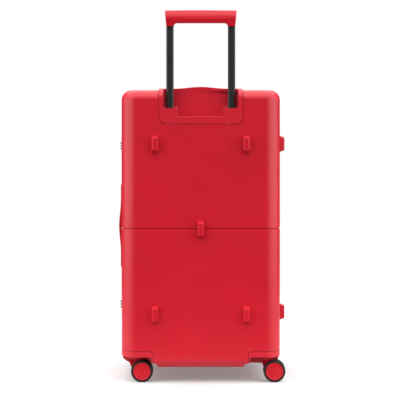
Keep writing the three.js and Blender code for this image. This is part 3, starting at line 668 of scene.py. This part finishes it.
def foot(node, body, outward):
    """A standing foot: a tall block that narrows towards its face, with rounded corners."""
    low, high = box_of(node)
    piece = block(f"fine_{node}", low, high)
    axis = "x" if abs(outward[0]) > 0.5 else "y"
    out = Vector(outward)
    with editing(piece):
        pick("FACE", lambda f: faces_to(f, out))
        centre = (low + high) / 2
        narrow = (1, 13 / 18, 33 / 42) if axis == "x" else (13 / 18, 1, 33 / 42)
        bpy.ops.transform.resize(value=narrow, center_override=centre)
    sides = lambda e: abs((e.verts[1].co - e.verts[0].co).dot(out)) > 0.005
    round_edges(piece, sides, 0.0045, 6)
    face = max(low.dot(out), high.dot(out)) - 0.001
    face_edge = lambda e: is_corner(e, 40) and min(v.co.dot(out) for v in e.verts) > face
    round_edges(piece, face_edge, 0.0022, 4)
    smooth(piece)
    place_piece(piece, body, "foot_red", foot_finish, node)


foot("back_foot_middle", "base", (0, -1, 0))
for end in ("upper", "lower"):
    for side in ("left", "right"):
        foot(f"back_foot_{end}_{side}", "base", (0, -1, 0))
    foot(f"base_side_foot_{end}", "base", (1, 0, 0))
    foot(f"lid_side_foot_{end}", "lid", (1, 0, 0))


# ---- Wheel housings and casters ----

def wheel_housing(label, body):
    x, y = swivel_place(label)
    piece = case_form(f"fine_wheel_housing_{label}")
    combine(piece, well_block(x, y, -GAP), "INTERSECT")
    half = WELL_HALF - GAP - HOUSING_WALL
    inside = block("inside", (x - half, y - half, 0), (x + half, y + half, HOUSING_CEILING))
    round_edges(inside, lambda e: runs_along(e, "z"), WELL_CORNER - HOUSING_WALL, 10)
    combine(piece, inside)
    reach = WELL_HALF * 2
    under = block("under", (x - reach, y - reach, 0), (x + reach, y + reach, RAISED_BOTTOM + GAP))
    combine(piece, under)
    combine(piece, round_bar("stem_hole", (x, y, 0.05), (x, y, 0.09), 0.0056, 32))
    soften(piece, width=0.0008)
    place_piece(piece, body, "trim_red", trim_finish, f"wheel_housing_{label}")


AXLE = centre_of("tyre_back_left_b").z
TYRE_R = AXLE
TYRE_IN_R = 0.0224
HUB_R = 0.0220
WHEEL_IN = 0.005
WHEEL_OUT = 0.019
TRAIL = joint_place("roll_back_left_b").x - joint_place("swivel_back_left").x
FORK_HALF = 0.004
DISC_R = 0.017
DISC_BOTTOM = HOUSING_CEILING - 0.0045
DISC_TOP = HOUSING_CEILING - 0.0005
BOSS_R = 0.008
AXLE_R = 0.003
WEB_LEVELS = 12


TREAD_GROOVES = (0.0103, 0.0137)
TREAD_GROOVE_HALF = 0.0005
TREAD_GROOVE_SHARE = 0.976  # the grooves' floor as a share of the tyre's radius
TYRE_SHOULDER = 0.0034


def tyre_master():
    """A tyre round the y axis, with two fine grooves and rounded shoulders."""
    piece = round_bar("tyre_master", (0, WHEEL_IN, 0), (0, WHEEL_OUT, 0), TYRE_R, 72)
    with editing(piece):
        pick("FACE", lambda f: abs(f.normal.y) > 0.99)
        bpy.ops.mesh.inset(thickness=TYRE_R - TYRE_IN_R)
        pick("FACE", lambda f: abs(f.normal.y) > 0.99 and f.calc_center_median().xz.length < 1e-4)
        bpy.ops.mesh.bridge_edge_loops()
    rim_edge = lambda e: is_corner(e, 60) and middle_of(e).xz.length > TYRE_R - 0.001
    round_edges(piece, rim_edge, TYRE_SHOULDER, 6)
    with editing(piece):
        for groove in TREAD_GROOVES:
            for offset in (-TREAD_GROOVE_HALF, 0, TREAD_GROOVE_HALF):
                slice_at((0, groove + offset, 0), (0, 1, 0))
        in_groove = lambda v: any(abs(v.co.y - groove) < 1e-4 for groove in TREAD_GROOVES)
        pick("VERT", lambda v: v.co.xz.length > TYRE_R - 0.001 and in_groove(v))
        size = (TREAD_GROOVE_SHARE, 1, TREAD_GROOVE_SHARE)
        bpy.ops.transform.resize(value=size, center_override=(0, sum(TREAD_GROOVES) / 2, 0))
    return smooth(piece, 40)


def hub_master():
    """A hub round the y axis: a raised lip, a shallow dished face and a plain centre cap."""
    piece = round_bar("hub_master", (0, WHEEL_IN + 0.0006, 0), (0, WHEEL_OUT - 0.0008, 0), HUB_R, 72)
    outer = lambda f: f.normal.y > 0.99 and len(f.verts) > 8
    inner = lambda f: f.normal.y < -0.99 and len(f.verts) > 8
    with editing(piece):
        pick("FACE", outer)
        bpy.ops.mesh.inset(thickness=0.0022)
        bpy.ops.mesh.inset(thickness=0.0010)
        bpy.ops.transform.translate(value=(0, -0.0010, 0))
        bpy.ops.mesh.inset(thickness=0.0100)
        bpy.ops.transform.translate(value=(0, 0.0007, 0))
        bpy.ops.mesh.inset(thickness=0.0004)
        bpy.ops.transform.translate(value=(0, 0.0004, 0))
        pick("FACE", inner)
        bpy.ops.mesh.inset(thickness=0.0030)
        bpy.ops.mesh.inset(thickness=0.0010)
        bpy.ops.transform.translate(value=(0, 0.0030, 0))
    soften(piece, width=0.0004, segments=2, degrees=30)
    return piece


def web_edges(share):
    """Where the web's leading and trailing edges are, from the axle (0) up to the disc (1)."""
    knee = 0.24
    if share < knee:
        lead = TRAIL - BOSS_R - (TRAIL - BOSS_R + 0.008) * share / knee
    else:
        lead = -0.014 + 0.006 * ((1 - share) / (1 - knee)) ** 2
    trail = TRAIL + BOSS_R - 0.0128 * share ** 3.5
    return lead, trail


def fork_web():
    """The web between a caster's two wheels, from the swivel disc down to the boss."""
    first, last = -0.014, TRAIL + BOSS_R
    height = DISC_BOTTOM + 0.001 - AXLE
    web = block("web", (first, -FORK_HALF, AXLE), (last, FORK_HALF, AXLE + height))
    with editing(web):
        levels = [i / WEB_LEVELS for i in range(WEB_LEVELS + 1)]
        for share in levels[1:-1]:
            slice_at((0, 0, AXLE + share * height), UP)
        for share in levels:
            for edge, start in zip(web_edges(share), (first, last)):
                z = AXLE + share * height
                corner = Vector((start, 0, z))
                pick("VERT", lambda v, corner=corner: (v.co - corner).xz.length < 1e-5)
                bpy.ops.transform.translate(value=(edge - start, 0, 0))
    return web


def fork_master():
    """A caster fork at the origin, trailing to +x: swivel disc, stem, web, boss and axle."""
    hub = Vector((TRAIL, 0, AXLE))
    boss_half, axle_half = Vector((0, FORK_HALF, 0)), Vector((0, 0.0156, 0))
    piece = round_bar("fork_master", (0, 0, DISC_BOTTOM), (0, 0, DISC_TOP), DISC_R, 64)
    combine(piece, fork_web(), "UNION")
    combine(piece, round_bar("stem", (0, 0, DISC_TOP - 0.001), (0, 0, 0.077), 0.005, 32), "UNION")
    combine(piece, round_bar("boss", hub - boss_half, hub + boss_half, BOSS_R, 48), "UNION")
    combine(piece, round_bar("axle", hub - axle_half, hub + axle_half, AXLE_R, 32), "UNION")
    return soften(piece, width=0.0006, segments=2, degrees=40)


def casters():
    tyre, hub, fork = tyre_master(), hub_master(), fork_master()
    turned = Matrix.Rotation(math.pi, 4, "Z")
    for half in ("back", "front"):
        for side in ("left", "right"):
            label = f"{half}_{side}"
            x, y = swivel_place(label)
            wheel_housing(label, "base" if half == "back" else "lid")
            piece = copy_of(fork, f"fine_fork_{label}", (x, y, 0))
            place_piece(piece, f"caster_{label}", "fork_red", fork_finish, f"fork_{label}")
            for end, turn in (("a", turned), ("b", None)):
                body = f"wheel_{label}_{end}"
                place = (x + TRAIL, y, AXLE)
                piece = copy_of(tyre, f"fine_tyre_{label}_{end}", place, turn)
                place_piece(piece, body, "tyre_black", tyre_finish, f"tyre_{label}_{end}")
                piece = copy_of(hub, f"fine_hub_{label}_{end}", place, turn)
                place_piece(piece, body, "hub_red", hub_finish, f"hub_{label}_{end}")
    for master in (tyre, hub, fork):
        bpy.data.objects.remove(master)


casters()


# ---- Carry handles, drawn with x along the handle and z out of the case ----

HANDLE_HALF = 0.107
HANDLE_END = (0.0026, 0.0074)  # under and upper side at the flat ends
HANDLE_LIFT = (0.0031, 0.0046)  # how much higher they are in the bowed middle
HANDLE_BOW_HALF = 0.068
HANDLE_WIDTH_HALF = 0.012
HANDLE_ROUND = 0.0016
HANDLE_COLUMNS = 28
LEG_X = 0.0965


def handle_plate(name):
    half, across = HANDLE_HALF + 0.002, 0.016
    piece = block(name, (-half, -across, GAP), (half, across, 0.002))
    round_edges(piece, lambda e: runs_along(e, "z"), 0.008, 8)
    for x in (-LEG_X, LEG_X):
        combine(piece, block("slot", (x - 0.0105, -0.0055, -0.01), (x + 0.0105, 0.0055, 0.01)))
    return soften(piece, width=0.0005)


def handle_bar(name):
    """The carry handle: flat ends, and a middle that bows out of the case."""
    under, upper = HANDLE_END
    low = (-HANDLE_HALF, -HANDLE_WIDTH_HALF, under)
    piece = block(name, low, (HANDLE_HALF, HANDLE_WIDTH_HALF, upper))
    columns = [HANDLE_BOW_HALF * (2 * i / HANDLE_COLUMNS - 1) for i in range(HANDLE_COLUMNS + 1)]
    with editing(piece):
        for x in columns:
            slice_at((x, 0, 0), (1, 0, 0))
        for x in columns:
            share = 1 - abs(x) / HANDLE_BOW_HALF
            bow = share * share * (3 - 2 * share)
            for height, lift in zip(HANDLE_END, HANDLE_LIFT):
                pick("VERT", lambda v, x=x, z=height: abs(v.co.x - x) < 1e-5 and abs(v.co.z - z) < 1e-5)
                bpy.ops.transform.translate(value=(0, 0, lift * bow))
    apply_modifier(
        piece, "BEVEL", width=HANDLE_ROUND, segments=5, limit_method="ANGLE", angle_limit=math.radians(40),
    )
    for x in (-LEG_X, LEG_X):
        leg = block("leg", (x - 0.010, -0.005, -0.022), (x + 0.010, 0.005, 0.005))
        combine(piece, leg, "UNION")
    return smooth(piece)


def carry_handles():
    plate, bar = handle_plate("plate_master"), handle_bar("bar_master")
    top_place = Vector((0, centre_of("top_handle").y, TOP))
    side_place = Vector((-SIDE, centre_of("side_handle").y, MIDDLE))
    sideways = Matrix.Rotation(-math.pi / 2, 4, "Y")
    for label, place, turn in (("top", top_place, None), ("side", side_place, sideways)):
        piece = copy_of(plate, f"fine_{label}_handle_mount", place, turn)
        place_piece(piece, "base", "handle_red", handle_finish, f"{label}_handle_mount")
        piece = copy_of(bar, f"fine_{label}_handle", place, turn)
        place_piece(piece, f"{label}_handle", "handle_red", handle_finish, f"{label}_handle")
    for master in (plate, bar):
        bpy.data.objects.remove(master)


carry_handles()


# ---- Rims, seal and hinge ----

RIM_OUT = SKIN + GAP
RIM_IN = RIM_OUT + 0.004
RIM_DEPTH = 0.014
SEAL_SEAT = 0.002
TONGUE_OUT = RIM_IN + GAP
TONGUE_IN = TONGUE_OUT + 0.002
TONGUE_REACH = 0.006
KNUCKLES = 5
KNUCKLE_R = 0.0033
PIN_BORE_R = 0.00195


def frame_block(name, inset, low_y, high_y):
    """A block of the case's outline at the parting plane, moved in by an inset."""
    low = (-SIDE + inset, low_y, BOTTOM + inset)
    piece = block(name, low, (SIDE - inset, high_y, TOP - inset))
    round_edges(piece, lambda e: runs_along(e, "y"), EDGE_R - inset, 12)
    return piece


def ring(name, outer, inner, low_y, high_y):
    piece = frame_block(name, outer, low_y, high_y)
    return combine(piece, frame_block("hole", inner, low_y - 0.01, high_y + 0.01))


def add_knuckles(piece, first, side):
    """Adds every second knuckle of the hinge, each on a leaf from the rim."""
    length = (HINGE_HIGH.z - HINGE_LOW.z) / KNUCKLES
    leaf = sorted((PARTING + side * LEAF_NEAR, PARTING + side * LEAF_FAR))
    for i in range(first, KNUCKLES, 2):
        low = HINGE_LOW.z + i * length + GAP
        high = low + length - 2 * GAP
        inner = SIDE - RIM_IN + 0.001
        combine(piece, block("leaf", (inner, leaf[0], low), (HINGE.x, leaf[1], high)), "UNION")
        barrel = round_bar("barrel", (HINGE.x, PARTING, low), (HINGE.x, PARTING, high), KNUCKLE_R, 32)
        combine(piece, barrel, "UNION")
    ends = [(HINGE.x, PARTING, z) for z in (HINGE_LOW.z - 0.01, HINGE_HIGH.z + 0.01)]
    return combine(piece, round_bar("bore", *ends, PIN_BORE_R, 24))


def rims():
    piece = ring("fine_base_rim", RIM_OUT, RIM_IN, PARTING - RIM_DEPTH, PARTING - SEAL_SEAT)
    soften(add_knuckles(piece, 0, -1), width=0.0003)
    place_piece(piece, "base", "rim_aluminium", rim_finish, "base_rim")
    piece = ring("fine_lid_rim", RIM_OUT, RIM_IN, PARTING + GAP, PARTING + RIM_DEPTH)
    tongue = ring("tongue", TONGUE_OUT, TONGUE_IN, PARTING - TONGUE_REACH, PARTING + RIM_DEPTH)
    combine(piece, tongue, "UNION")
    combine(piece, ring("web", RIM_OUT, TONGUE_IN, PARTING + LEAF_NEAR, PARTING + LEAF_FAR), "UNION")
    soften(add_knuckles(piece, 1, 1), width=0.0003)
    place_piece(piece, "lid", "rim_aluminium", rim_finish, "lid_rim")
    piece = ring("fine_rim_seal", RIM_OUT + GAP, RIM_IN - GAP, PARTING - SEAL_SEAT + GAP, PARTING)
    soften(piece, width=0.0005)
    place_piece(piece, "base", "seal_rubber", seal_finish, "rim_seal")


rims()


# ---- Locks: x along the lock, y to the lid, z out of the case ----

LOCK_HALF = 0.035
LOCK_WIDTH = 0.026
LOCK_RISE = 0.0065
LOCK_TRIM = 0.0012
LOCK_ROUND = 0.0052
DIAL_R = 0.0048
DIAL_THICKNESS = 0.005
DIAL_PITCH = 0.0074
DIAL_RISE = 0.0054
DIAL_CLEARANCE = 0.0006
SHAFT_R = 0.0015
DIAL_RIBS = 20
LEVER_PIVOT = (-0.011 - PARTING, 0.0038)
LEVER_END = 0.020 - PARTING
LEVER_THICKNESS = 0.0026
LEVER_BARREL_R = 0.0026
LEVER_PIN_R = 0.0009
LOCK_Y = -GAP - LOCK_WIDTH / 2


def lever_block(name, side, grow, low_y, high_y, low_z, high_z):
    ends = sorted((side * (LEVER_FROM - grow), side * (LEVER_TO + grow)))
    return block(name, (ends[0], low_y, low_z), (ends[1], high_y, high_z))


def lock_body(name, side):
    low = (-LOCK_HALF, LOCK_Y - LOCK_WIDTH / 2, GAP)
    piece = block(name, low, (LOCK_HALF, LOCK_Y + LOCK_WIDTH / 2, LOCK_RISE))
    round_edges(piece, lambda e: runs_along(e, "z"), LOCK_ROUND, 8)
    for row in (-1, 0, 1):
        x, half, reach = row * DIAL_PITCH, DIAL_THICKNESS / 2 + GAP, DIAL_R + DIAL_CLEARANCE
        window = block("window", (x - half, LOCK_Y - reach, -0.001), (x + half, LOCK_Y + reach, 0.012))
        combine(piece, window)
    start = LEVER_PIVOT[0] - LEVER_BARREL_R - 0.0015
    combine(piece, lever_block("slot", side, 0.0005, start, LOCK_WIDTH, -0.001, 0.012))
    crest = lambda e: is_corner(e, 60) and min(v.co.z for v in e.verts) > LOCK_RISE - 1e-5
    round_edges(piece, crest, LOCK_TRIM / 2, 3)
    shaft = 1.5 * DIAL_PITCH + 0.003
    shaft_ends = [(x, LOCK_Y, DIAL_RISE) for x in (-shaft, shaft)]
    combine(piece, round_bar("shaft", *shaft_ends, SHAFT_R, 20), "UNION")
    ends = [(side * reach, *LEVER_PIVOT) for reach in (LEVER_FROM - 0.0015, LEVER_TO + 0.0015)]
    combine(piece, round_bar("pin", *ends, LEVER_PIN_R, 16), "UNION")
    return smooth(piece)


def latch_lever(name, side):
    piece = lever_block(name, side, 0, LEVER_PIVOT[0], LEVER_END, LOCK_RISE - LEVER_THICKNESS, LOCK_RISE)
    tip = lambda e: runs_along(e, "z") and middle_of(e).y > LEVER_END - 0.001
    round_edges(piece, tip, 0.003, 6)
    ends = [(side * reach, *LEVER_PIVOT) for reach in (LEVER_FROM, LEVER_TO)]
    combine(piece, round_bar("barrel", *ends, LEVER_BARREL_R, 32), "UNION")
    ends = [(side * reach, *LEVER_PIVOT) for reach in (LEVER_FROM - 0.01, LEVER_TO + 0.01)]
    combine(piece, round_bar("bore", *ends, LEVER_PIN_R + GAP, 16))
    return soften(piece, width=0.0004)


def ribbed_dial(name):
    """A dial round the x axis with finger ribs, bored for its shaft."""
    half = DIAL_THICKNESS / 2
    piece = round_bar(name, (-half, 0, 0), (half, 0, 0), DIAL_R, 2 * DIAL_RIBS)
    with editing(piece):
        pick("VERT", lambda v: round(math.atan2(v.co.y, v.co.z) / (math.pi / DIAL_RIBS)) % 2 == 0)
        bpy.ops.transform.resize(value=(1, 0.93, 0.93), center_override=(0, 0, 0))
    combine(piece, round_bar("bore", (-0.01, 0, 0), (0.01, 0, 0), SHAFT_R + GAP, 20))
    return soften(piece, width=0.00025, degrees=60)


def locks():
    turn = Matrix.Rotation(-math.pi / 2, 4, "Y")
    dial = ribbed_dial("dial_master")
    for label, end in (("upper", 1), ("lower", -1)):
        place = Vector((-SIDE, PARTING, MIDDLE + end * LOCK_SPREAD))
        masters = lock_body("body_master", -end), latch_lever("lever_master", -end)
        names = (f"lock_body_{label}", "base"), (f"latch_lever_{label}", f"latch_lever_{label}")
        for master, (node, body) in zip(masters, names):
            piece = copy_of(master, f"fine_{node}", place, turn)
            place_piece(piece, body, "lock_metal", lock_finish, node)
            bpy.data.objects.remove(master)
        for row in (1, 2, 3):
            node = f"dial_{label}_{row}"
            offset = Vector((-DIAL_RISE, LOCK_Y, (row - 2) * DIAL_PITCH))
            piece = copy_of(dial, f"fine_{node}", place + offset, turn)
            place_piece(piece, node, "dial_metal", dial_finish, node)
    bpy.data.objects.remove(dial)


locks()


# ---- Finishes on the nodes that keep their own shape ----

def finish_node(node, finish):
    piece = frame["nodes"][node]
    piece.data.materials.clear()
    piece.data.materials.append(finish)


finish_node("hinge_pin", hinge_finish)
for side in ("left", "right"):
    finish_node(f"guide_tube_{side}", guide_finish)


# ---- Floor, light and camera ----

FRAME_WIDTH = 1.0
CAMERA_DISTANCE = 3.6
CAMERA_HEIGHT = 0.63
AIM = Vector((-0.00185, BACK, 0.4585))


def add_camera():
    data = bpy.data.cameras.new("camera")
    data.sensor_width = 36
    data.lens = data.sensor_width * CAMERA_DISTANCE / FRAME_WIDTH
    data.shift_y = (AIM.z - CAMERA_HEIGHT) / FRAME_WIDTH
    data.clip_end = 50
    camera = bpy.data.objects.new("camera", data)
    camera.location = (AIM.x, AIM.y - CAMERA_DISTANCE, CAMERA_HEIGHT)
    camera.rotation_euler = (math.pi / 2, 0, 0)
    bpy.context.collection.objects.link(camera)
    bpy.context.scene.camera = camera


def add_light(name, place, target, width, height, power):
    data = bpy.data.lights.new(name, "AREA")
    data.shape = "RECTANGLE"
    data.size = width
    data.size_y = height
    data.energy = power
    light = bpy.data.objects.new(name, data)
    light.location = place
    way = Vector(target) - Vector(place)
    light.rotation_euler = way.to_track_quat("-Z", "Y").to_euler()
    bpy.context.collection.objects.link(light)


def add_sky_light(strength):
    """A wide soft light straight from above, even over the whole floor."""
    data = bpy.data.lights.new("sky_light", "SUN")
    data.energy = strength
    data.angle = math.radians(110)
    light = bpy.data.objects.new("sky_light", data)
    light.location = (0, 0, 3)
    bpy.context.collection.objects.link(light)


def add_floor():
    bpy.ops.object.select_all(action="DESELECT")
    bpy.ops.mesh.primitive_plane_add(size=2.2, location=(0, 0.65, 0))
    floor = bpy.context.object
    floor.name = "floor"
    settle(floor)
    material, tree, shader = node_tree("floor_paper")
    shade = noise(tree, 3, detail=3, coordinates=object_coordinates(tree))
    paper = blend_colour(tree, shade, (0.40, 0.40, 0.40), (0.42, 0.42, 0.42))
    tree.links.new(paper, shader.inputs["Base Color"])
    shader.inputs["Roughness"].default_value = 0.8
    shader.inputs["Specular IOR Level"].default_value = 0.1
    # the floor glows faintly: painted light that lightens the shadow under the case
    shader.inputs["Emission Color"].default_value = (1, 1, 1, 1)
    shader.inputs["Emission Strength"].default_value = 0.2
    floor.data.materials.append(material)


def add_world():
    """White behind the object, and a softer even light on it."""
    world = bpy.data.worlds.new("studio")
    bpy.context.scene.world = world
    world.use_nodes = True
    tree = world.node_tree
    background = tree.nodes["Background"]
    background.inputs["Color"].default_value = (1, 1, 1, 1)
    path = tree.nodes.new("ShaderNodeLightPath")
    strength = spread(tree, path.outputs["Is Camera Ray"], 0, 1, 0.10, 1.0)
    tree.links.new(strength, background.inputs["Strength"])


add_camera()
add_floor()
add_world()
add_sky_light(7.6)
for side in (-1, 1):
    name = "left_panel" if side < 0 else "right_panel"
    add_light(name, (side * 2.1, -0.85, 0.9), (0, -0.1, 0.5), 3.0, 1.8, 54)

scene = bpy.context.scene
scene.view_settings.view_transform = "Standard"
